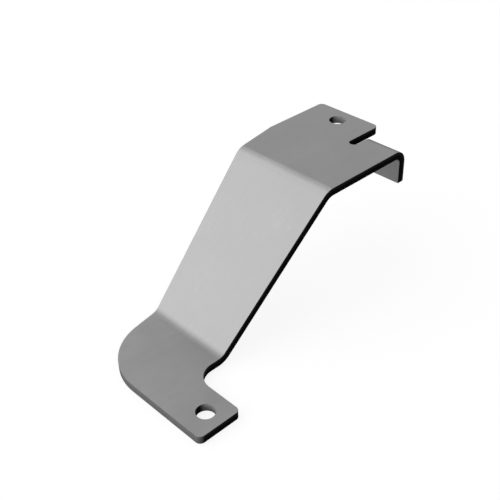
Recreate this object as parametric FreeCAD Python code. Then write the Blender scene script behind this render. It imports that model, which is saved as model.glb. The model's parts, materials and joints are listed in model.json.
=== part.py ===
import FreeCAD, Part

import math
import os

from FreeCAD import Vector

# A stamped and folded sheet-metal bracket. One blank of steel sheet is cut with its two holes and
# its slot, and folded three times: up from the foot into a sloping web, back to a level platform,
# and down into a short flange. All lengths are in millimetres and all angles in degrees.
# X runs along the bracket from foot to platform, Y across it and Z up. The origin is the centre
# of the foot's hole, on the foot's underside.

# Sheet and folds
sheet = 3.0
web_slope = 40.0
web_bend_radius = 5.0
flange_bend_radius = 2.5
step_height = 43.5

# Foot, measured from its front edge and from the near edge of the bracket
foot_length = 30.0
foot_tab_width = 17.4
foot_tab_reach = 22.5
foot_tab_fillet = 7.5
foot_corner_radius = 2.0
foot_back_radius = 23.0

# Platform, measured from the upper fold
platform_length = 50.0
flange_distance = 43.0
taper_end = 20.5
taper_angle = 10.0

# Widths across the platform, from the near edge: the flanged strip, the slot and the rear tab.
# The slot runs past the start of the flange's fold, so that the fold doesn't tear the tab.
strip_width = 15.0
slot_width = 3.5
tab_width = 30.0
slot_past_fold = 6.2
tab_corner_radius = 2.0
tab_slot_corner_radius = 2.5
flange_height = 14.0

# Holes for M6 screws. The foot's hole is placed from the foot tab's end and front edge, and the
# tab's hole from the rear tab's end, midway across it.
screw_hole_diameter = 6.6
foot_hole_from_front = 9.1
foot_hole_from_end = 7.4
tab_hole_from_end = 7.2

# Rounding that barrel deburring leaves along the outer edges of the sheet
edge_break = 0.25

# An edge is sharp, and gets broken, where its faces meet at more than this angle
sharp_angle = 45.0

# The cutting shapes stand out this far past the sheet
overshoot = 5.0

# Points nearer to each other than this are one point
same_point = 1e-6

# Places along X and Z that follow from the sizes
slope = math.tan(math.radians(web_slope))
front_x = -foot_hole_from_front
foot_end_y = -foot_hole_from_end
near_y = foot_end_y + foot_tab_reach
lower_fold_x = front_x + foot_length
upper_fold_x = lower_fold_x + step_height / slope
flange_x = upper_fold_x + flange_distance
strip_end_x = flange_x - flange_bend_radius - sheet
tab_end_x = upper_fold_x + platform_length
taper_end_x = upper_fold_x + taper_end
platform_top = step_height + sheet
strip_y = near_y + strip_width
tab_y = strip_y + slot_width
far_y = tab_y + tab_width


def corner_arc(before, corner, after, radius):
    """Two tangent points and the arc between them that round a corner to a radius."""
    into = (corner - before).normalize()
    out = (after - corner).normalize()
    turn = into.getAngle(out)
    start = corner - into * radius * math.tan(turn / 2)
    end = corner + out * radius * math.tan(turn / 2)
    inward = (out - into).normalize()
    centre = corner + inward * radius / math.cos(turn / 2)
    arc = Part.Arc(start, centre - inward * radius, end)
    return start, end, arc.toShape()


def rounded_face(corners):
    """A flat face from a list of corner points, each with its own rounding radius."""
    edges = []
    starts = []
    ends = []
    arcs = []
    count = len(corners)
    for index, (corner, radius) in enumerate(corners):
        before = corners[index - 1][0]
        after = corners[(index + 1) % count][0]
        if radius > 0:
            start, end, arc = corner_arc(before, corner, after, radius)
        else:
            start, end, arc = corner, corner, None
        starts.append(start)
        ends.append(end)
        arcs.append(arc)
    for index in range(count):
        if arcs[index] is not None:
            edges.append(arcs[index])
        following = starts[(index + 1) % count]
        # Two roundings may meet with no straight stretch between them, as in the slot's end.
        if ends[index].distanceToPoint(following) > same_point:
            edges.append(Part.makeLine(ends[index], following))
    return Part.Face(Part.Wire(edges))


def across(x, z):
    """A point of the folded profile, which is drawn in the bracket's lengthwise plane."""
    return Vector(x, 0, z)


def folded_sheet():
    """The foot, web and platform as one folded strip, wider than the finished bracket."""
    # The underside of the web lies one sheet below its top, square to the slope, so each fold's
    # lower corner is set back along X by the tangent of half the slope.
    setback = sheet * math.tan(math.radians(web_slope / 2))
    inside = web_bend_radius
    outside = web_bend_radius + sheet
    start_x = front_x - overshoot
    end_x = max(tab_end_x, flange_x) + overshoot
    profile = rounded_face([
        (across(start_x, 0), 0),
        (across(lower_fold_x + setback, 0), outside),
        (across(upper_fold_x + setback, step_height), inside),
        (across(end_x, step_height), 0),
        (across(end_x, platform_top), 0),
        (across(upper_fold_x, platform_top), outside),
        (across(lower_fold_x, sheet), inside),
        (across(start_x, sheet), 0),
    ])
    profile.translate(Vector(0, foot_end_y - overshoot, 0))
    return profile.extrude(Vector(0, far_y - foot_end_y + 2 * overshoot, 0))


def plan_outline():
    """The bracket's outline seen from above, up to where the flange's fold begins."""
    far_foot_y = far_y - (taper_end_x - front_x) * math.tan(math.radians(taper_angle))
    tab_back_x = front_x + foot_tab_width
    slot_end_x = strip_end_x - slot_past_fold
    outline = rounded_face([
        (Vector(front_x, foot_end_y, 0), foot_corner_radius),
        (Vector(tab_back_x, foot_end_y, 0), foot_corner_radius),
        (Vector(tab_back_x, near_y, 0), foot_tab_fillet),
        (Vector(strip_end_x, near_y, 0), 0),
        (Vector(strip_end_x, strip_y, 0), 0),
        (Vector(slot_end_x, strip_y, 0), slot_width / 2),
        (Vector(slot_end_x, tab_y, 0), slot_width / 2),
        (Vector(tab_end_x, tab_y, 0), tab_slot_corner_radius),
        (Vector(tab_end_x, far_y, 0), tab_corner_radius),
        (Vector(taper_end_x, far_y, 0), 0),
        (Vector(front_x, far_foot_y, 0), foot_back_radius),
    ])
    outline.translate(Vector(0, 0, -overshoot))
    return outline.extrude(Vector(0, 0, platform_top + 2 * overshoot))


def end_flange():
    """The fold at the end of the strip and the short flange that hangs from it."""
    # It starts one sheet's thickness before its fold, inside the end of the strip.
    outside = flange_bend_radius + sheet
    start_x = strip_end_x - sheet
    bottom = platform_top - flange_height
    profile = rounded_face([
        (across(start_x, platform_top), 0),
        (across(flange_x, platform_top), outside),
        (across(flange_x, bottom), 0),
        (across(flange_x - sheet, bottom), 0),
        (across(flange_x - sheet, step_height), flange_bend_radius),
        (across(start_x, step_height), 0),
    ])
    profile.translate(Vector(0, near_y, 0))
    return profile.extrude(Vector(0, strip_width, 0))


def screw_hole(x, y, bottom):
    """A cutter for a hole through one level of the sheet."""
    start = Vector(x, y, bottom - overshoot)
    return Part.makeCylinder(screw_hole_diameter / 2, sheet + 2 * overshoot, start)


def face_normal(face, point):
    """The outward normal of a face at the place nearest to a point."""
    u, v = face.Surface.parameter(point)
    return face.normalAt(u, v)


def sharp_edges(solid):
    """The edges of a solid whose two faces meet at a sharp angle."""
    found = []
    for edge in solid.Edges:
        middle = edge.valueAt((edge.FirstParameter + edge.LastParameter) / 2)
        faces = solid.ancestorsOfType(edge, Part.Face)
        if len(faces) == 2:
            angle = face_normal(faces[0], middle).getAngle(face_normal(faces[1], middle))
            if math.degrees(angle) > sharp_angle:
                found.append(edge)
    return found


def bracket():
    """The finished bracket, as one solid."""
    body = folded_sheet().common(plan_outline())
    body = body.fuse(end_flange()).removeSplitter()
    body = body.makeFillet(edge_break, sharp_edges(body))
    tab_hole_x = tab_end_x - tab_hole_from_end
    tab_hole_y = tab_y + tab_width / 2
    body = body.cut(screw_hole(0, 0, 0))
    return body.cut(screw_hole(tab_hole_x, tab_hole_y, step_height))


os.makedirs("parts", exist_ok=True)
shape = bracket()
solid = shape.Solids[0]
solid.exportStep("parts/bracket.step")
centre = solid.CenterOfMass
print("solids", len(shape.Solids), "valid", solid.isValid(), "faces", len(solid.Faces))
print("box", solid.BoundBox)
print("volume", round(solid.Volume, 1), "centre", [round(value, 2) for value in centre])
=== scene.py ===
# %% [markdown]
# # A folded steel bracket
#
# The real object is one piece of steel sheet, 3 mm thick. A flat foot with a screw hole folds up
# into a sloping web, the web folds back into a level platform, and a slot splits the platform's
# end into a tab with a second hole and a strip that is folded down into a short flange.
#
# A press cuts the blank out of flat sheet, a brake folds it, and a barrel of stones takes the
# sharpness off its edges. The script takes one mesh through the same steps in the same order, so
# the folds, the cut walls and the marks of the tools come out where the real ones are.
#
# The imported CAD model is loaded first. It says where everything is, in metres, and nothing here
# moves it. Its box gives the outer sizes below.

import json
import math

import bmesh
import bpy
from mathutils import Matrix, Vector


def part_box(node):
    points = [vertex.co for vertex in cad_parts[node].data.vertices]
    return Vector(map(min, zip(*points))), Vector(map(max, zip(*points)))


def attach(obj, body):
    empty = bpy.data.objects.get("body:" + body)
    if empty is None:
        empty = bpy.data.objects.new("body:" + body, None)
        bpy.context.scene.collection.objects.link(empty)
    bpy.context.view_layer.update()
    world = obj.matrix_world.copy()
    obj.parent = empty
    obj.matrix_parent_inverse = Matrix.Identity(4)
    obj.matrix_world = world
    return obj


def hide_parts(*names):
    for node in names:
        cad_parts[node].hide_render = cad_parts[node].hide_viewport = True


MM_PER_METRE = 1000

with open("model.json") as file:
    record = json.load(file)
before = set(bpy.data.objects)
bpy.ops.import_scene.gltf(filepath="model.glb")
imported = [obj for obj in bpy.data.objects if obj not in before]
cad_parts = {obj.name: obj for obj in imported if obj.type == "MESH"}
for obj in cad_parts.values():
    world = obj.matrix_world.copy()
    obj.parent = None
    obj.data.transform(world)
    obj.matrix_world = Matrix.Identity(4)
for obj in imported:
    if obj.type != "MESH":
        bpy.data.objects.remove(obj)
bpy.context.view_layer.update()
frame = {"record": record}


def in_mm(lengths):
    """Lengths in metres as rounded millimetres, for printing."""
    return [round(length * MM_PER_METRE, 2) for length in lengths]


# %% [markdown]
# ## Sizes
#
# The outer limits, the holes, the sheet's thickness and the flange's place are read from the CAD
# model and its mounts, so they can't drift away from it. All other sizes are the ones that the
# bracket is made to, and each gets its name where it is first used. X runs from foot to platform,
# Y across the bracket and Z up.

# %% Read the sizes that the CAD model gives
low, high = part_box("bracket")
mounts = {mount["name"]: mount for mount in frame["record"]["mounts"]}
foot_hole = Vector(mounts["foot_hole"]["pos_m"])
tab_hole = Vector(mounts["tab_hole"]["pos_m"])
hole_radius = mounts["foot_hole"]["dims"]["r_mm"] / MM_PER_METRE
sheet = mounts["foot_hole"]["dims"]["length_mm"] / MM_PER_METRE
flange_x = mounts["flange_face"]["pos_m"][0]
front_x, foot_end_y, ground = low
tab_end_x, far_y, platform_top = high
print("sheet, hole radius and flange in mm", in_mm([sheet, hole_radius, flange_x]))

# %% [markdown]
# ## The blank's outline
#
# On the real bracket a press cuts the outline out of flat sheet. It could be drawn here as a curve
# and converted, but points and a spin give the same line and keep every size in view: each rounded
# corner is a single point, spun round the corner's centre, and straight edges then join the
# corners. The outline is drawn as it looks from above, because its long edges run straight in that
# view, across the folds.

# %% Sizes of the foot
foot_tab_width = 0.0174
foot_tab_reach = 0.0225
foot_tab_fillet = 0.0075
foot_corner_radius = 0.002
foot_back_radius = 0.023

near_y = foot_end_y + foot_tab_reach
tab_back_x = front_x + foot_tab_width
print("foot tab from", in_mm([front_x, foot_end_y]), "to", in_mm([tab_back_x, near_y]))

# %% Sizes of the platform, with its tab and its strip
platform_length = 0.050
strip_width = 0.015
slot_width = 0.0035
slot_past_fold = 0.0062
flange_bend_radius = 0.0025
tab_corner_radius = 0.002
tab_slot_corner_radius = 0.0025

upper_fold_x = tab_end_x - platform_length
strip_y = near_y + strip_width
tab_y = strip_y + slot_width
strip_end_x = flange_x - flange_bend_radius - sheet
slot_end_x = strip_end_x - slot_past_fold
print("platform starts at", in_mm([upper_fold_x]), "slot from", in_mm([slot_end_x, strip_y]))

# %% The tapered far edge
taper_end = 0.0205
taper_angle = math.radians(10)

taper_end_x = upper_fold_x + taper_end
far_foot_y = far_y - (taper_end_x - front_x) * math.tan(taper_angle)
print("taper from", in_mm([front_x, far_foot_y]), "to", in_mm([taper_end_x, far_y]))

# %% Round one corner
ROUNDING_STEP = math.radians(4)
FEWEST_STEPS = 4


def rounded_corner(bm, before, corner, after, radius):
    """One corner of an outline: its first and last points, with the rounding between them."""
    into = (corner - before).normalized()
    out = (after - corner).normalized()
    turn = math.atan2(into.cross(out), into.dot(out))
    start = corner - into * radius * math.tan(abs(turn) / 2)
    first = bm.verts.new(start.to_3d())
    if radius == 0:
        return first, first
    inward = Vector((-into.y, into.x)) * math.copysign(radius, turn)
    steps = max(FEWEST_STEPS, round(abs(turn) / ROUNDING_STEP))
    spun = bmesh.ops.spin(bm, geom=[first], cent=(start + inward).to_3d(), axis=(0, 0, 1),
                          angle=turn, steps=steps)
    last = [item for item in spun["geom_last"] if isinstance(item, bmesh.types.BMVert)][0]
    return first, last


print("a square corner gets", round(math.radians(90) / ROUNDING_STEP), "edges")


# %% Draw the outline
def draw_outline(bm, corners):
    """A closed outline from corner points, each with its own rounding radius."""
    points = [Vector(point) for point, _ in corners]
    ends = []
    for index, (_, radius) in enumerate(corners):
        before = points[index - 1]
        after = points[(index + 1) % len(points)]
        ends.append(rounded_corner(bm, before, points[index], after, radius))
    for (_, last), (first, _) in zip(ends, ends[1:] + ends[:1]):
        bm.edges.new((last, first))


blank = bmesh.new()
draw_outline(blank, [
    ((front_x, foot_end_y), foot_corner_radius),
    ((tab_back_x, foot_end_y), foot_corner_radius),
    ((tab_back_x, near_y), foot_tab_fillet),
    ((strip_end_x, near_y), 0),
    ((strip_end_x, strip_y), 0),
    ((slot_end_x, strip_y), slot_width / 2),
    ((slot_end_x, tab_y), slot_width / 2),
    ((tab_end_x, tab_y), tab_slot_corner_radius),
    ((tab_end_x, far_y), tab_corner_radius),
    ((taper_end_x, far_y), 0),
    ((front_x, far_foot_y), foot_back_radius),
])
print("outline points", len(blank.verts))

# %% [markdown]
# ## The flat blank
#
# The two screw holes are punched while the sheet is still flat. A circle is drawn for each, and one
# fill makes the face between the three lines. The fill comes as triangles, so the edges inside it
# are dissolved again. That leaves clean faces, which the cuts of the next step divide without
# running along old edges.

# %% Punch the holes and fill the blank
HOLE_SEGMENTS = 72
TOUCHING = 1e-7
FLAT = math.radians(0.1)

for centre in (foot_hole, tab_hole):
    bmesh.ops.create_circle(blank, cap_ends=False, segments=HOLE_SEGMENTS, radius=hole_radius,
                            matrix=Matrix.Translation((centre.x, centre.y, 0)))
bmesh.ops.remove_doubles(blank, verts=blank.verts, dist=TOUCHING)
bmesh.ops.triangle_fill(blank, use_beauty=True, use_dissolve=True, edges=blank.edges,
                        normal=(0, 0, 1))
bmesh.ops.dissolve_limit(blank, angle_limit=FLAT, verts=[], edges=blank.edges)
area = sum(face.calc_area() for face in blank.faces)
print("blank faces", len(blank.faces), "area in cm2", round(area * 1e4, 2))

# %% [markdown]
# ## The two long folds
#
# A fold in sheet is part of a ring: its inside has a small radius and its outside is one sheet
# larger, both round the same centre. A press brake makes it by pushing the sheet down along a
# line. Here the blank is first cut across in close steps where each fold comes, then it gets its
# thickness, and at last every point is lifted to its place on the folded shape. Cutting first
# keeps the flat parts flat and gives the folds just the faces that their curve needs. A Simple
# Deform modifier bends a mesh too, but it bends all of it, and this part has flats to keep.

# %% Find where the folds begin and end
web_slope = math.radians(40)
web_bend_radius = 0.005
foot_length = 0.030

lower_fold_x = front_x + foot_length
outer_radius = web_bend_radius + sheet
lower_centre = Vector((lower_fold_x - web_bend_radius * math.tan(web_slope / 2),
                       sheet + web_bend_radius))
upper_centre = Vector((upper_fold_x + outer_radius * math.tan(web_slope / 2),
                       platform_top - outer_radius))
print("fold centres in mm, as X and Z", in_mm(lower_centre), in_mm(upper_centre))

# %% Cut the blank across where it folds
SHORT_RADIUS_STEPS = 12
LONG_RADIUS_STEPS = 7

short_reach = web_bend_radius * math.sin(web_slope)
long_reach = outer_radius * math.sin(web_slope)


def fold_steps():
    """Distances from a fold's start, close enough together for its two radii to look round."""
    for step in range(SHORT_RADIUS_STEPS + 1):
        yield short_reach * step / SHORT_RADIUS_STEPS
    for step in range(1, LONG_RADIUS_STEPS + 1):
        yield short_reach + (long_reach - short_reach) * step / LONG_RADIUS_STEPS


cut_lines = []
for distance in fold_steps():
    cut_lines.append(lower_centre.x + distance)
    cut_lines.append(upper_centre.x - distance)
for x in sorted(cut_lines):
    everything = blank.verts[:] + blank.edges[:] + blank.faces[:]
    bmesh.ops.bisect_plane(blank, geom=everything, dist=TOUCHING, plane_co=(x, 0, 0),
                           plane_no=(1, 0, 0))
print("cut lines", len(cut_lines), "faces", len(blank.faces))

# %% Give the blank its thickness
# The layer called depth is 0 on the upper side of the sheet and 1 on its underside. Every new
# point takes it along, so the cut walls can be told from the rolled faces later.
HALFWAY_DOWN = 0.5

depth = blank.verts.layers.float.new("depth")
thickened = bmesh.ops.extrude_face_region(blank, geom=blank.faces[:])
lower_side = [item for item in thickened["geom"] if isinstance(item, bmesh.types.BMVert)]
for vert in lower_side:
    vert[depth] = 1
print("points on each side", len(lower_side), len(blank.verts) - len(lower_side))


# %% Lift it into its folded shape
def fold_radii(underside):
    """The radii of the lower and the upper fold, on one side of the sheet."""
    if underside:
        return outer_radius, web_bend_radius
    return web_bend_radius, outer_radius


def arc_height(centre, radius, x, direction):
    """Height of a round fold at x: below its centre for direction -1 and above it for 1."""
    return centre.y + direction * math.sqrt(radius ** 2 - (x - centre.x) ** 2)


def folded_height(x, underside):
    """Height of the sheet's upper side or underside at a distance along the bracket."""
    lower_radius, upper_radius = fold_radii(underside)
    web_start = lower_centre.x + lower_radius * math.sin(web_slope)
    web_end = upper_centre.x - upper_radius * math.sin(web_slope)
    if x <= lower_centre.x:
        return lower_centre.y - lower_radius
    if x <= web_start:
        return arc_height(lower_centre, lower_radius, x, -1)
    if x < web_end:
        web_foot = arc_height(lower_centre, lower_radius, web_start, -1)
        return web_foot + (x - web_start) * math.tan(web_slope)
    if x <= upper_centre.x:
        return arc_height(upper_centre, upper_radius, x, 1)
    return upper_centre.y + upper_radius


for vert in blank.verts:
    vert.co.z = folded_height(vert.co.x, vert[depth] > HALFWAY_DOWN)
heights = [vert.co.z for vert in blank.verts]
print("heights in mm from", in_mm([min(heights)]), "to", in_mm([max(heights)]))

# %% [markdown]
# ## The end flange
#
# The strip beside the slot is folded down at a right angle, so that the bracket hooks over an
# edge. Its fold is tight, with an inside radius a little under the sheet's own thickness. The end
# face of the strip is all that is needed: spun round the fold's centre it leaves the bend behind
# it, and pulled straight down it makes the flange. Bending a longer strip would need a rule for
# the places of all its points, and the spin needs only a centre and an angle.

# %% Spin and pull the strip's end
FLANGE_STEPS = 18
flange_height = 0.014


def strip_end_face(bm):
    """The small upright face at the end of the strip."""
    for face in bm.faces:
        middle = face.calc_center_median()
        if abs(middle.x - strip_end_x) < TOUCHING and near_y < middle.y < strip_y:
            return face


end_face = strip_end_face(blank)
fold_centre = Vector((strip_end_x, near_y, platform_top - sheet - flange_bend_radius))
spun = bmesh.ops.spin(blank, geom=[end_face] + end_face.edges[:] + end_face.verts[:],
                      cent=fold_centre, axis=(0, 1, 0), angle=math.radians(90),
                      steps=FLANGE_STEPS)
flange_end = [item for item in spun["geom_last"] if isinstance(item, bmesh.types.BMFace)]
drop = flange_height - sheet - flange_bend_radius
pulled = bmesh.ops.extrude_face_region(blank, geom=flange_end)
pulled_verts = [item for item in pulled["geom"] if isinstance(item, bmesh.types.BMVert)]
bmesh.ops.translate(blank, verts=pulled_verts, vec=(0, 0, -drop))
print("flange pulled down in mm by", in_mm([drop]))


# %% Take out the faces that the spin left inside
def loose_edges(bm):
    """How many edges don't join exactly two faces. A closed skin has none."""
    return sum(1 for edge in bm.edges if len(edge.link_faces) != 2)


print("edges not joining two faces", loose_edges(blank))
inner = [face for face in blank.faces if all(len(edge.link_faces) > 2 for edge in face.edges)]
bmesh.ops.delete(blank, geom=inner, context="FACES_ONLY")
bmesh.ops.recalc_face_normals(blank, faces=blank.faces)
print("inner faces", len(inner), "and after removing them", loose_edges(blank))
print("volume in mm3", round(blank.calc_volume(signed=True) * 1e9, 1))

# %% [markdown]
# ## Broken edges
#
# Nobody leaves a stamped edge razor sharp: parts are tumbled with stones until every outer edge is
# slightly round. The round is only 0.15 mm, yet it is what catches the light along the edges of
# real sheet metal. A bump texture can't give it, because it changes the outline, so a bevel with
# three segments makes it, on all edges where two faces meet squarely. The stones reach into the
# holes less, so the rims get a bevel of their own, of 0.1 mm.

# %% Choose the edges
SHARP = math.radians(45)
HOLE_MARGIN = 1.01


def at_hole(point):
    """Whether a point lies on the wall or the rim of one of the screw holes."""
    distances = [(point.xy - hole.xy).length for hole in (foot_hole, tab_hole)]
    return min(distances) < hole_radius * HOLE_MARGIN


def sharp_edges(bm, on_rims):
    """The edges where two faces meet squarely: those of the holes' rims, or all the others."""
    return [edge for edge in bm.edges
            if edge.calc_face_angle(0) > SHARP and at_hole(edge.verts[0].co) == on_rims]


print("outer edges", len(sharp_edges(blank, on_rims=False)),
      "rim edges", len(sharp_edges(blank, on_rims=True)))

# %% Round them
ROLLED = 0
CUT = 1
TUMBLED = 2
BREAK_SEGMENTS = 3
edge_break = 0.00015
rim_break = 0.0001


def break_edges(bm, edges, size):
    """Round a set of edges over, and mark the new faces as tumbled."""
    made = bmesh.ops.bevel(bm, geom=edges, offset=size, offset_type="OFFSET", affect="EDGES",
                           segments=BREAK_SEGMENTS, profile=0.5, material=-1, clamp_overlap=True)
    for face in made["faces"]:
        face.material_index = TUMBLED


break_edges(blank, sharp_edges(blank, on_rims=False), edge_break)
break_edges(blank, sharp_edges(blank, on_rims=True), rim_break)
blank.normal_update()
print("faces", len(blank.faces), "loose edges", loose_edges(blank))

# %% [markdown]
# ## Rolled, cut and tumbled faces
#
# One piece of steel shows three kinds of surface here. The two wide sides are as the rolling mill
# left them, the walls round the outline and in the holes are sheared, and the small rounds between
# them are rubbed by the stones. They could be picked by hand, but the layer called depth tells
# them apart: a face that reaches from one side of the sheet to the other is a cut one. Most of each
# round is then given the cut finish too, whose near-black is painted shade, and only the strip next
# to the upper side keeps the bright tumbled finish.

# %% Sort the faces
def on_underside(face):
    """Whether a face lies wholly on the underside of the sheet."""
    return min(vert[depth] for vert in face.verts) > HALFWAY_DOWN


def spread_cut(faces):
    """Give the cut finish to those tumbled faces that share an edge with a cut face."""
    beside = [face for face in faces if face.material_index == TUMBLED
              and any(other.material_index == CUT
                      for edge in face.edges for other in edge.link_faces)]
    for face in beside:
        face.material_index = CUT


for face in blank.faces:
    face.smooth = True
    if face.material_index != TUMBLED:
        depths = [vert[depth] for vert in face.verts]
        face.material_index = ROLLED if max(depths) - min(depths) < HALFWAY_DOWN else CUT
# Painted shade: the rounds that take the cut finish go near black with it, all but the strip next
# to the upper side.
for _ in range(BREAK_SEGMENTS - 1):
    spread_cut(blank.faces)
spread_cut([face for face in blank.faces if on_underside(face)])
print("rolled, cut and tumbled faces",
      [sum(face.material_index == kind for face in blank.faces) for kind in (ROLLED, CUT, TUMBLED)])

# %% [markdown]
# ## Painted light on the cut walls
#
# The cut walls are near black, as painted shade, except where they face the side lamp at the left:
# there they are painted grey, as painted light. That is the side of each hole wall that looks
# towards the foot's front, fading out round the hole, and the front edge of the foot. A painted
# mask could say so, but a number on each point is exact and needs no picture: a layer on the
# points runs from 0, in shade, to 1, lit.

# %% Paint light onto the cut walls that face the side lamp
HOLE_WALL_PAINTED_LIGHT = 0.95
PAINTED_LIGHT_FACING = Vector((-1, 0, 0))
PAINTED_LIGHT_FADES_OVER = 0.8
FRONT_EDGE_PAINTED_LIGHT = 0.58

painted_wall_light = blank.verts.layers.float.new("painted_wall_light")


def eased(value):
    """A value from 0 to 1, eased at both ends."""
    value = min(max(value, 0.0), 1.0)
    return value * value * (3 - 2 * value)


def wall_light_paint(vert, face):
    """How much painted light a cut face gets at one of its points, by how far it faces the lamp."""
    if at_hole(vert.co):
        return HOLE_WALL_PAINTED_LIGHT * eased(face.normal.dot(PAINTED_LIGHT_FACING) / PAINTED_LIGHT_FADES_OVER)
    if vert.co.x < lower_centre.x:
        return FRONT_EDGE_PAINTED_LIGHT * max(0.0, -face.normal.x)
    return 0.0


for vert in blank.verts:
    cut_faces = [face for face in vert.link_faces if face.material_index == CUT]
    if cut_faces:
        vert[painted_wall_light] = min(wall_light_paint(vert, face) for face in cut_faces)
print("smoothest point", round(max(vert[painted_wall_light] for vert in blank.verts), 2))

# %% [markdown]
# ## Painted light and shade on the bends
#
# The grey of the bends carries painted light and shade: a painted highlight on the outside of the
# long folds, painted shade on their inside, and a band of painted shade round the tight flange
# fold. The same values also make the highlight smoother and the shaded places rougher. They fade
# in and out round each bend. They could be drawn on an unwrapped picture, but each bend is round a
# known centre, so they follow from the angle round it. A layer on each point keeps them: above 0
# is brighter and smoother, below 0 is darker and rougher.

# %% Fade the painted highlight and shade in and out round a bend
HIGHLIGHT_PEAK = 0.25
SHADE_PEAK = 0.4
FADE_POWER = 1.5


def painted_fold_strength(radius, distance, peak):
    """Strength of the painted highlight and shade on a long fold, at a distance along X from its
    level end.
    """
    if not 0 < distance < radius * math.sin(web_slope):
        return 0.0
    share = math.asin(distance / radius) / web_slope
    if share < peak:
        return eased(share / peak)
    return ((1 - share) / (1 - peak)) ** FADE_POWER


print("mark round a fold", [round(painted_fold_strength(outer_radius, long_reach * share, HIGHLIGHT_PEAK), 2)
                            for share in (0.1, 0.25, 0.5, 0.75, 0.9)])

# %% Paint highlight and shade onto the bends
PAINTED_HIGHLIGHT_OUTSIDE = 0.43
PAINTED_SHADE_INSIDE = -0.19
PAINTED_SHADE_FLANGE_FOLD = -0.75
FLANGE_SHADE_UNDERSIDE_SHARE = 0.3

painted_bend_light = blank.verts.layers.float.new("painted_bend_light")


def painted_bend_value(vert):
    """The painted highlight, above 0, and the painted shade, below 0, at a point of the sheet."""
    underside = vert[depth] > HALFWAY_DOWN
    round_lower = vert.co.x - lower_centre.x
    round_upper = upper_centre.x - vert.co.x
    outside, inside = (round_lower, round_upper) if underside else (round_upper, round_lower)
    light_and_shade = PAINTED_HIGHLIGHT_OUTSIDE * painted_fold_strength(outer_radius, outside, HIGHLIGHT_PEAK)
    light_and_shade += PAINTED_SHADE_INSIDE * painted_fold_strength(web_bend_radius, inside, SHADE_PEAK)
    # A band of painted shade round the flange fold, weaker on its underside.
    if vert.co.x > strip_end_x and vert.co.z > fold_centre.z and vert.co.y < tab_y:
        turn = math.atan2(vert.co.x - strip_end_x, vert.co.z - fold_centre.z)
        light_and_shade += PAINTED_SHADE_FLANGE_FOLD * math.sin(2 * turn) * (FLANGE_SHADE_UNDERSIDE_SHARE if underside else 1.0)
    return light_and_shade


for vert in blank.verts:
    vert[painted_bend_light] = painted_bend_value(vert)
painted_shading = [vert[painted_bend_light] for vert in blank.verts]
print("bend marks from", round(min(painted_shading), 2), "to", round(max(painted_shading), 2))

# %% [markdown]
# ## How far along the sheet
#
# The marks that a shear leaves run straight through the sheet, on the flats, on the slope and round
# the bends. A pattern on X, Y and Z alone can't follow them, because the sheet turns. So each point
# gets the distance at which it lay along the sheet before folding, which sheet-metal workers call
# the developed length. In a bend it is measured halfway through the sheet, where the steel is
# neither stretched nor squeezed. The layer called along keeps it, in metres.

# %% Measure along the two long folds
middle_radius = web_bend_radius + sheet / 2
up_the_web = Vector((math.cos(web_slope), math.sin(web_slope)))
web_length = (upper_centre - lower_centre).dot(up_the_web)
web_begins = lower_centre.x + middle_radius * web_slope
platform_begins = web_begins + web_length + middle_radius * web_slope


def along_folds(x, z):
    """Distance along the unfolded foot, web and platform, for a place on the folded ones."""
    if x <= lower_centre.x:
        return x
    if x >= upper_centre.x:
        return platform_begins + x - upper_centre.x
    climbed = (Vector((x, z)) - lower_centre).dot(up_the_web)
    if climbed < 0:
        return lower_centre.x + middle_radius * math.atan2(x - lower_centre.x, lower_centre.y - z)
    if climbed <= web_length:
        return web_begins + climbed
    return platform_begins - middle_radius * math.atan2(upper_centre.x - x, z - upper_centre.y)


print("web begins and ends in mm", in_mm([web_begins, web_begins + web_length]))

# %% Measure along the flange and keep the distances
strip_ends = along_folds(strip_end_x, platform_top)
flange_middle_radius = flange_bend_radius + sheet / 2


def along_flange(x, z):
    """Distance along the unfolded strip, for a place past the start of its own fold."""
    turn = math.atan2(x - strip_end_x, max(0.0, z - fold_centre.z))
    return strip_ends + flange_middle_radius * turn + max(0.0, fold_centre.z - z)


along = blank.verts.layers.float.new("along")
for vert in blank.verts:
    past_strip = vert.co.x > strip_end_x and vert.co.y < tab_y
    vert[along] = (along_flange if past_strip else along_folds)(vert.co.x, vert.co.z)
print("unfolded length in mm", in_mm([max(vert[along] for vert in blank.verts) - front_x]))

# %% [markdown]
# ## One piece
#
# The bmesh is written into a mesh, and the mesh is shown by one object at the origin, because the
# whole bracket is one piece of steel. Its faces are smooth shaded so that the folds look round.
# Smooth shading would also bend the light on the flats next to them, so a Weighted Normal modifier
# lets the large faces decide. The piece then takes the place of the CAD solid, which is hidden.
# The piece then replaces the CAD solid, which stays for collision.

# %% Make the piece
CREASE = math.radians(50)

mesh = bpy.data.meshes.new("folded_bracket")
blank.to_mesh(mesh)
blank.free()
mesh.set_sharp_from_angle(angle=CREASE)
bracket = bpy.data.objects.new("folded_bracket", mesh)
bpy.context.scene.collection.objects.link(bracket)
even = bracket.modifiers.new("flat faces stay flat", "WEIGHTED_NORMAL")
even.mode = "FACE_AREA"
even.keep_sharp = True

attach(bracket, "root")
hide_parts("bracket")
print("piece", bracket.name, "points", len(mesh.vertices), "faces", len(mesh.polygons))

# %% [markdown]
# ## Finishes from nodes
#
# A finish is a small network of nodes: noise gives values that change over the surface, maths
# nodes stretch and mix them, and they end in the shader's colour, roughness and normal. It could
# be clicked together in the editor, but written down it can be read and changed. A few helpers
# keep it short. A value that is the same all over is set on the shader itself.
#
# An effect that several finishes use is a node group, built once and placed in each of them with
# its own values. All patterns are made from Object coordinates, so they stay put on the steel.

# %% Helpers for single nodes
def add_node(tree, kind, **settings):
    """A new node with its settings, such as its operation or data type."""
    node = tree.nodes.new("ShaderNode" + kind)
    for name, value in settings.items():
        setattr(node, name, value)
    return node


def set_inputs(node, **values):
    """Set a node's input sockets by name. Spaces in their names are written as underscores."""
    for name, value in values.items():
        node.inputs[name.replace("_", " ")].default_value = value


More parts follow.
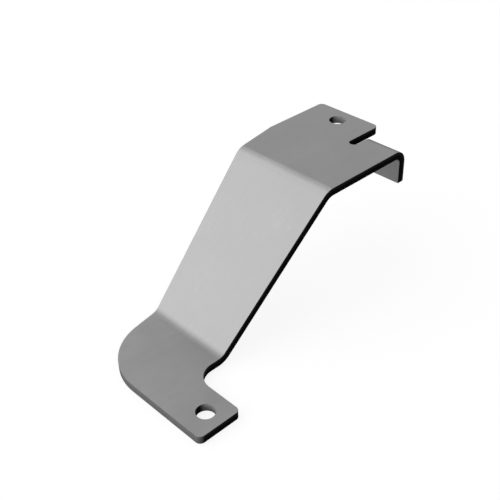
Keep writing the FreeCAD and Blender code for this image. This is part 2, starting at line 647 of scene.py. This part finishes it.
def maths(tree, operation, first, second=0.0):
    """A maths node. Each of its two terms is a number or another node's output."""
    node = add_node(tree, "Math", operation=operation)
    for socket, term in zip(node.inputs, (first, second)):
        if isinstance(term, (int, float)):
            socket.default_value = term
        else:
            tree.links.new(term, socket)
    return node.outputs["Value"]


# %% Helpers that mix and stretch values
def sum_of(tree, base, *terms):
    """A base value plus several others, each times its own share."""
    total = base
    for value, share in terms:
        total = maths(tree, "ADD", maths(tree, "MULTIPLY", value, share), total)
    return total


def remap(tree, value, low_in, high_in, low_out=0.0, high_out=1.0):
    """Stretch a value from one range to another and keep it there."""
    node = add_node(tree, "MapRange", clamp=True)
    tree.links.new(value, node.inputs["Value"])
    set_inputs(node, From_Min=low_in, From_Max=high_in, To_Min=low_out, To_Max=high_out)
    return node.outputs["Result"]


def grey(tree, value):
    """A grey colour from a brightness value."""
    node = add_node(tree, "CombineColor")
    for channel in ("Red", "Green", "Blue"):
        tree.links.new(value, node.inputs[channel])
    return node.outputs["Color"]


# %% Helpers for groups
def new_group(name, inputs, output):
    """A node group that takes Coordinates and its own settings, and puts out one value."""
    group = bpy.data.node_groups.new(name, "ShaderNodeTree")
    sockets = group.interface
    sockets.new_socket("Coordinates", in_out="INPUT", socket_type="NodeSocketVector")
    for label, value in inputs.items():
        kind = "NodeSocketVector" if isinstance(value, tuple) else "NodeSocketFloat"
        sockets.new_socket(label, in_out="INPUT", socket_type=kind).default_value = value
    sockets.new_socket(output, in_out="OUTPUT", socket_type="NodeSocketFloat")
    given = group.nodes.new("NodeGroupInput").outputs
    made = group.nodes.new("NodeGroupOutput").inputs
    return group, given, made[output]


def use_group(tree, group, coordinates, **values):
    """The value that a group puts out in a material, for the material's own settings."""
    node = add_node(tree, "Group", node_tree=group)
    tree.links.new(coordinates, node.inputs["Coordinates"])
    set_inputs(node, **values)
    return node.outputs[0]


# %% [markdown]
# ## What shows on rolled steel
#
# Three things show on the wide sides. Rolling leaves very fine lines along the sheet. The blank is
# laid out so that they run lengthwise, because sheet bent across its grain doesn't crack. Oil and
# handling leave a faint cloudiness, and other parts in the barrel leave a few thin scuffs.
#
# Grain like this is often made from a photograph of metal. A stretched noise does as well and never
# repeats. It also stays true over the folds with no unwrapping: the lines are long in X and Z and
# narrow in Y, and every fold of this part turns about Y. The same streaks, made short and turned
# through the sheet, come back later as the score marks on the cut walls.

# %% Streaks
def streak_pattern():
    """Streaks of noise. Size is how long one is along X, Y and Z, in millimetres."""
    group, given, streaks_out = new_group("streaks", {"Size": (12.0, 0.4, 12.0)}, "Streaks")
    links = group.links
    millimetres = add_node(group, "VectorMath", operation="SCALE")
    set_inputs(millimetres, Scale=MM_PER_METRE)
    links.new(given["Coordinates"], millimetres.inputs["Vector"])
    stretched = add_node(group, "VectorMath", operation="DIVIDE")
    links.new(millimetres.outputs["Vector"], stretched.inputs[0])
    links.new(given["Size"], stretched.inputs[1])
    noise = add_node(group, "TexNoise")
    set_inputs(noise, Scale=1.0, Detail=3.0, Roughness=0.6)
    links.new(stretched.outputs["Vector"], noise.inputs["Vector"])
    links.new(remap(group, noise.outputs["Fac"], low_in=0.3, high_in=0.7), streaks_out)
    return group


streaks = streak_pattern()
print("group", streaks.name, "nodes", len(streaks.nodes))


# %% Clouding
def clouding():
    """Soft cloudy patches. Size is the width of a patch in millimetres."""
    group, given, clouds_out = new_group("clouding", {"Size": 14.0}, "Clouds")
    noise = add_node(group, "TexNoise")
    set_inputs(noise, Detail=4.0, Roughness=0.55)
    group.links.new(given["Coordinates"], noise.inputs["Vector"])
    group.links.new(maths(group, "DIVIDE", MM_PER_METRE, given["Size"]), noise.inputs["Scale"])
    group.links.new(remap(group, noise.outputs["Fac"], low_in=0.32, high_in=0.68), clouds_out)
    return group


cloudiness = clouding()
print("group", cloudiness.name, "nodes", len(cloudiness.nodes))

# %% Scuffs
SCRATCH_SCALE = (60, 900, 60)
SCRATCH_TILT = 0.3
SCRATCH_WIDTH = 0.012
PATCH_SCALE = 90.0


def scratch_lines(group, coordinates, turn, shift):
    """Thin lines in one direction: they lie where a stretched noise passes its middle value."""
    place = add_node(group, "Mapping")
    set_inputs(place, Location=(shift, shift, 0), Rotation=(0, SCRATCH_TILT, turn),
               Scale=SCRATCH_SCALE)
    group.links.new(coordinates, place.inputs["Vector"])
    streak = add_node(group, "TexNoise")
    set_inputs(streak, Scale=1.0, Detail=1.0, Roughness=0.4)
    group.links.new(place.outputs["Vector"], streak.inputs["Vector"])
    off_middle = maths(group, "ABSOLUTE", maths(group, "SUBTRACT", streak.outputs["Fac"], 0.5))
    return remap(group, off_middle, 0.0, SCRATCH_WIDTH, 1.0, 0.0)


def scuffing():
    """Sparse thin scratches in two directions. Amount says how strongly they show."""
    group, given, scratches_out = new_group("scuffs", {"Amount": 0.5}, "Scratches")
    one = scratch_lines(group, given["Coordinates"], turn=0.5, shift=3.1)
    other = scratch_lines(group, given["Coordinates"], turn=-0.9, shift=7.7)
    patch = add_node(group, "TexNoise")
    set_inputs(patch, Scale=PATCH_SCALE, Detail=1.0)
    group.links.new(given["Coordinates"], patch.inputs["Vector"])
    shown = remap(group, patch.outputs["Fac"], low_in=0.56, high_in=0.66)
    scratches = maths(group, "MULTIPLY", maths(group, "MAXIMUM", one, other), shown)
    group.links.new(maths(group, "MULTIPLY", scratches, given["Amount"]), scratches_out)
    return group


scuffs = scuffing()
print("group", scuffs.name, "nodes", len(scuffs.nodes))

# %% [markdown]
# ## The rolled faces
#
# Bare steel is a metal all through, so it has no colour under its gloss: the base colour is the
# tint of the reflection, a middle grey here, and the roughness of about 0.4 makes it satin. The
# lines, clouds and scuffs move both by a few hundredths only. More would look like brushed trim,
# and mill finish is quiet. The underside's grey is made much darker, as painted shade, and the
# grey of the bends is scaled by their painted highlight and shade.

# %% The start of every finish
def start_finish(name, metallic, specular=0.5):
    """A material with its shader's constants set, and the parts that its nodes are linked to."""
    material = bpy.data.materials.new(name)
    material.use_nodes = True
    tree = material.node_tree
    shader = tree.nodes["Principled BSDF"]
    set_inputs(shader, Metallic=metallic, Specular_IOR_Level=specular)
    return material, tree, shader, add_node(tree, "TexCoord").outputs["Object"]


def layer(tree, name):
    """The value of one of the bracket's layers."""
    return add_node(tree, "Attribute", attribute_name=name).outputs["Fac"]


def bump(tree, height, strength, distance):
    """A surface normal that follows a height value."""
    node = add_node(tree, "Bump")
    set_inputs(node, Strength=strength, Distance=distance)
    tree.links.new(height, node.inputs["Height"])
    return node.outputs["Normal"]


# %% Rolled steel
# Sizes of the lines are in millimetres along X, Y and Z, and heights of a relief in metres.
UPPER_GREY = 0.46
UNDERSIDE_SHADED_GREY = 0.158
GRAZING_GREY = 0.7
FINE_LINES = (9.0, 0.35, 9.0)
BROAD_LINES = (40.0, 2.2, 40.0)
LINE_HEIGHT = 0.00001


def rolled_steel():
    """Satin mill finish, with painted shade on the underside and painted light and shade on the
    bends.
    """
    material, tree, shader, place = start_finish("rolled_steel", metallic=1.0)
    set_inputs(shader, Specular_Tint=(GRAZING_GREY, GRAZING_GREY, GRAZING_GREY, 1))
    fine = use_group(tree, streaks, place, Size=FINE_LINES)
    broad = use_group(tree, streaks, place, Size=BROAD_LINES)
    lines = sum_of(tree, 0.0, (fine, 0.7), (broad, 0.3))
    clouds = use_group(tree, cloudiness, place, Size=16.0)
    scratches = use_group(tree, scuffs, place, Amount=0.6)
    painted_shading = layer(tree, "painted_bend_light")
    # Painted shade: the underside's grey is far darker than the upper side's.
    side = remap(tree, layer(tree, "depth"), 0, 1, UPPER_GREY, UNDERSIDE_SHADED_GREY)
    flat_tone = sum_of(tree, side, (lines, 0.05), (clouds, 0.04), (scratches, 0.06))
    # The bends' layer scales the grey: painted highlight above 0, painted shade below 0. It also
    # makes the highlight smoother and the shade rougher.
    tone = maths(tree, "MULTIPLY", flat_tone, maths(tree, "ADD", painted_shading, 1.0))
    rough = sum_of(tree, 0.38, (lines, 0.08), (clouds, 0.06), (scratches, -0.1), (painted_shading, -0.15))
    relief = bump(tree, maths(tree, "SUBTRACT", fine, scratches), 0.25, LINE_HEIGHT)
    tree.links.new(grey(tree, tone), shader.inputs["Base Color"])
    tree.links.new(rough, shader.inputs["Roughness"])
    tree.links.new(relief, shader.inputs["Normal"])
    return material


rolled_finish = rolled_steel()
print("finish", rolled_finish.name, "nodes", len(rolled_finish.node_tree.nodes))

# %% [markdown]
# ## Tumbled rounds
#
# The tumbled round along each edge is clean metal. The stones rub it evenly from all sides, so it
# has no grain, only a little of the cloudiness. It is a shade darker than the wide faces, because
# the stones leave it less bright than the rolls leave the sheet.

# %% Tumbled rounds
TUMBLED_GREY = 0.30
TUMBLED_ROUGHNESS = 0.34


def tumbled_edge():
    """The small round along every edge, rubbed clean and even."""
    material, tree, shader, place = start_finish("tumbled_edge", metallic=1.0)
    clouds = use_group(tree, cloudiness, place, Size=3.0)
    tone = sum_of(tree, TUMBLED_GREY, (clouds, 0.06))
    rough = sum_of(tree, TUMBLED_ROUGHNESS, (clouds, 0.1))
    tree.links.new(grey(tree, tone), shader.inputs["Base Color"])
    tree.links.new(rough, shader.inputs["Roughness"])
    return material


tumbled_finish = tumbled_edge()
print("finish", tumbled_finish.name, "nodes", len(tumbled_finish.node_tree.nodes))

# %% [markdown]
# ## Cut walls
#
# A shear first cuts into the sheet and then tears through it. So the wall has a smoother band at
# the top, scored straight through the sheet by the tool, and a rough, torn band below it, with a
# wavy line between them. Both are made nearly black, as painted shade, with hardly any gloss, so
# they are no mirror for the room. Where a wall faces the side lamp, a grey comes back, as painted
# light. All this relief is hundredths of a millimetre high, so a bump is enough for it.
#
# The score marks need coordinates that follow the wall: along the unfolded sheet, across the
# bracket, and through the sheet. Two of the layers give the first and the last.

# %% Coordinates on the walls
def wall_place(tree, place):
    """A place on the cut walls: along the sheet, across the bracket, and through the sheet."""
    parts = add_node(tree, "SeparateXYZ")
    tree.links.new(place, parts.inputs["Vector"])
    through = maths(tree, "MULTIPLY", layer(tree, "depth"), sheet)
    wall = add_node(tree, "CombineXYZ")
    for axis, value in (("X", layer(tree, "along")), ("Y", parts.outputs["Y"]), ("Z", through)):
        tree.links.new(value, wall.inputs[axis])
    return wall.outputs["Vector"]


# %% Cut walls
CUT_WALL_SHADE = 0.001
LIT_WALL_GREY = 0.38
TEAR_STARTS = 0.38
TEAR_IS_WHOLE = 0.5
SCORE_SIZE = (0.22, 0.22, 5.0)
TEAR_HEIGHT = 0.00006


def cut_edge():
    """A cut wall, scored at the top and torn below: near black as painted shade, grey as painted
    light.
    """
    material, tree, shader, place = start_finish("cut_edge", metallic=0.0, specular=0.015)
    scores = use_group(tree, streaks, wall_place(tree, place), Size=SCORE_SIZE)
    clouds = use_group(tree, cloudiness, place, Size=0.5)
    wavy_depth = sum_of(tree, layer(tree, "depth"), (clouds, 0.2))
    torn = remap(tree, wavy_depth, TEAR_STARTS, TEAR_IS_WHOLE)
    whole = maths(tree, "SUBTRACT", 1.0, torn)
    scored = maths(tree, "MULTIPLY", scores, whole)
    grained = maths(tree, "MULTIPLY", clouds, torn)
    # Painted shade: the scored and torn wall is near black.
    dark = sum_of(tree, CUT_WALL_SHADE, (scored, 0.006), (grained, 0.0025))
    # Painted light: this grey takes the place of the near-black where a wall faces the side lamp.
    smooth = sum_of(tree, LIT_WALL_GREY, (scores, 0.08), (clouds, 0.06), (torn, -0.04))
    tone = add_node(tree, "Mix", data_type="FLOAT")
    tree.links.new(layer(tree, "painted_wall_light"), tone.inputs["Factor"])
    tree.links.new(dark, tone.inputs["A"])
    tree.links.new(smooth, tone.inputs["B"])
    rough = sum_of(tree, 0.5, (torn, 0.35), (scored, -0.1))
    relief = bump(tree, sum_of(tree, grained, (scored, 0.3)), 0.4, TEAR_HEIGHT)
    tree.links.new(grey(tree, tone.outputs["Result"]), shader.inputs["Base Color"])
    tree.links.new(rough, shader.inputs["Roughness"])
    tree.links.new(relief, shader.inputs["Normal"])
    return material


cut_finish = cut_edge()
print("finish", cut_finish.name, "nodes", len(cut_finish.node_tree.nodes))

# %% Put the finishes on
# The order is that of the numbers ROLLED, CUT and TUMBLED, which the faces carry.
for finish in (rolled_finish, cut_finish, tumbled_finish):
    mesh.materials.append(finish)
print("finishes", [material.name for material in mesh.materials])

# %% [markdown]
# ## Camera
#
# The photograph was taken from close by, a little to the left of the foot and well above it, so the
# foot looks larger than the platform. Place, direction and lens were solved from the outlines in
# it, so that the render can be laid over it. A camera could be aimed with a Track To constraint,
# but that can't give the small roll, so its axes are worked out: azimuth turns round the object,
# elevation is the height above the horizon, and roll is the tilt of the camera itself.

# %% Work out the camera's axes
camera_place = Vector((-0.124504, -0.155511, 0.203961))
azimuth = math.radians(-43.0909)
elevation = math.radians(34.9808)
roll = math.radians(-1.4339)

back = Vector((math.sin(azimuth) * math.cos(elevation),
               -math.cos(azimuth) * math.cos(elevation),
               math.sin(elevation)))
right = Vector((math.cos(azimuth), math.sin(azimuth), 0))
up = back.cross(right)
turned_right = right * math.cos(roll) + up * math.sin(roll)
turned_up = up * math.cos(roll) - right * math.sin(roll)
facing = Matrix((turned_right, turned_up, back)).transposed().to_4x4()
print("the camera looks along", [round(value, 3) for value in -back])

# %% Set up the camera
camera_data = bpy.data.cameras.new("camera")
camera_data.sensor_width = 36
camera_data.lens = 63.21
camera_data.clip_start = 0.01
camera = bpy.data.objects.new("camera", camera_data)
camera.matrix_world = Matrix.Translation(camera_place) @ facing
bpy.context.scene.collection.objects.link(camera)
bpy.context.scene.camera = camera
print("camera at", in_mm(camera_place), "lens", camera_data.lens)

# %% [markdown]
# ## Floor
#
# The bracket stands on a wide sheet of pale paper. White paper under enough light would be simple,
# but it would throw that light back up at the bracket and wash out its dark edges. So the paper is
# a plain grey one that takes the shadow, with a glow added that only shows to the camera, to
# mirrors and to glass: white to look at, and no lamp.

# %% Floor
FLOOR_RADIUS = 8
UNDER_THE_FOOT = 0.00002
PAPER = 0.25
GLOW = 0.85


def floor_material():
    """Paper that takes a soft shadow and looks white, but hardly lights the bracket."""
    material = bpy.data.materials.new("studio_floor")
    material.use_nodes = True
    tree = material.node_tree
    tree.nodes.clear()
    ray = add_node(tree, "LightPath").outputs
    looked_at = maths(tree, "MAXIMUM", ray["Is Camera Ray"], ray["Is Glossy Ray"])
    looked_at = maths(tree, "MAXIMUM", looked_at, ray["Is Transmission Ray"])
    paper = add_node(tree, "BsdfDiffuse")
    set_inputs(paper, Color=(PAPER, PAPER, PAPER, 1))
    glow = add_node(tree, "Emission")
    tree.links.new(maths(tree, "MULTIPLY", looked_at, GLOW), glow.inputs["Strength"])
    both = add_node(tree, "AddShader")
    tree.links.new(paper.outputs["BSDF"], both.inputs[0])
    tree.links.new(glow.outputs["Emission"], both.inputs[1])
    output = add_node(tree, "OutputMaterial")
    tree.links.new(both.outputs["Shader"], output.inputs["Surface"])
    return material


floor_mesh = bpy.data.meshes.new("floor")
disc = bmesh.new()
bmesh.ops.create_circle(disc, cap_ends=True, segments=96, radius=FLOOR_RADIUS,
                        matrix=Matrix.Translation((0, 0, ground - UNDER_THE_FOOT)))
disc.to_mesh(floor_mesh)
disc.free()
floor_mesh.materials.append(floor_material())
floor = bpy.data.objects.new("floor", floor_mesh)
bpy.context.scene.collection.objects.link(floor)
print("floor faces", len(floor_mesh.polygons))

# %% [markdown]
# ## Lamps and room
#
# Metal shows what is round it, so it is lit by large pale shapes more than by strong lamps. A wide
# softbox hangs behind the bracket, where the sloping web mirrors it, and makes the web the
# brightest face. A smaller lamp low at the left lights the foot's front edge and the walls of the
# holes. The room is pale at the horizon and darker overhead. The level faces mirror the part
# between, which gives them their middle grey.
#
# A softbox is set by how bright it looks, not by its power, so that it can be moved or resized
# without a new setting: the power is that brightness times pi and the area.

# %% Lamps
middle = (low + high) / 2


def softbox(name, direction, distance, size, brightness):
    """A square soft light aimed at the bracket."""
    data = bpy.data.lights.new(name, "AREA")
    data.shape = "SQUARE"
    data.size = size
    data.energy = brightness * math.pi * size ** 2
    lamp = bpy.data.objects.new(name, data)
    toward = Vector(direction).normalized()
    lamp.location = middle + toward * distance
    lamp.rotation_euler = toward.to_track_quat("Z", "Y").to_euler()
    bpy.context.scene.collection.objects.link(lamp)
    print(name, "power in watts", round(data.energy, 2))


softbox("key_softbox", (-0.37, 0.56, 0.74), distance=1.0, size=1.2, brightness=0.735)
softbox("side_lamp", (-0.95, 0.15, 0.24), distance=1.2, size=0.45, brightness=2.6)

# %% Room
HORIZON = 1.0
OVERHEAD = 0.25
OVERHEAD_FROM = 0.9

world = bpy.data.worlds.new("studio")
world.use_nodes = True
room = world.node_tree
looked_along = add_node(room, "SeparateXYZ")
room.links.new(add_node(room, "TexCoord").outputs["Generated"], looked_along.inputs["Vector"])
level = remap(room, looked_along.outputs["Z"], 0.0, OVERHEAD_FROM, HORIZON, OVERHEAD)
room.links.new(grey(room, level), room.nodes["Background"].inputs["Color"])
bpy.context.scene.world = world
bpy.context.scene.view_settings.view_transform = "Standard"
print("room from", HORIZON, "at the horizon to", OVERHEAD, "overhead")
